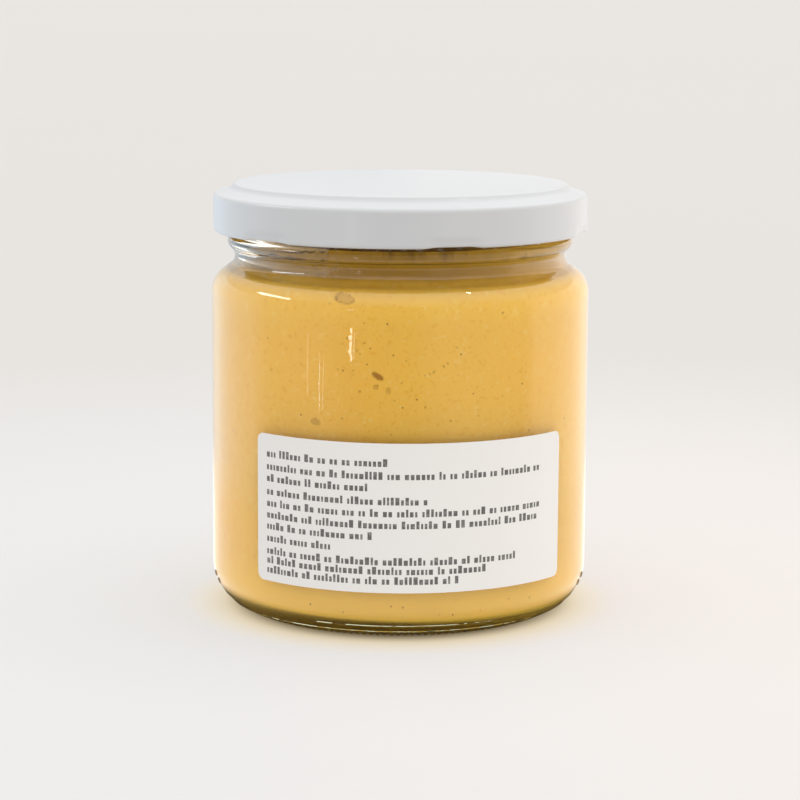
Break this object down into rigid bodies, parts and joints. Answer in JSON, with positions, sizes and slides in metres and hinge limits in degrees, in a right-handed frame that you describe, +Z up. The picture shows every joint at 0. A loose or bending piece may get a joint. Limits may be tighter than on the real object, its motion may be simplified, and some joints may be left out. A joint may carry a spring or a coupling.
{
  "type": "shut jar of hummus",
  "caption": "Clear glass jar of hummus, shut with a white twist-off lid, with a plain white paper label.",
  "frame": {"origin": "centre of the ring that the jar stands on, on the jar's axis", "axes": "+Z up along the jar's axis, -Y towards the label, the glass mould's seams at -X and +X"},
  "size_m": [0.079, 0.0795, 0.0892],
  "materials": {
    "glass": "clear soda-lime glass with a faint green cast",
    "lid_enamel": "white enamelled tinplate, satin gloss",
    "hummus": "moist smooth chickpea paste with fine pores",
    "label_paper": "uncoated white paper"
  },
  "bodies": {
    "root": {"glass_jar": "glass", "lid": "lid_enamel", "hummus": "hummus", "label": "label_paper"}
  },
  "joints": []
}
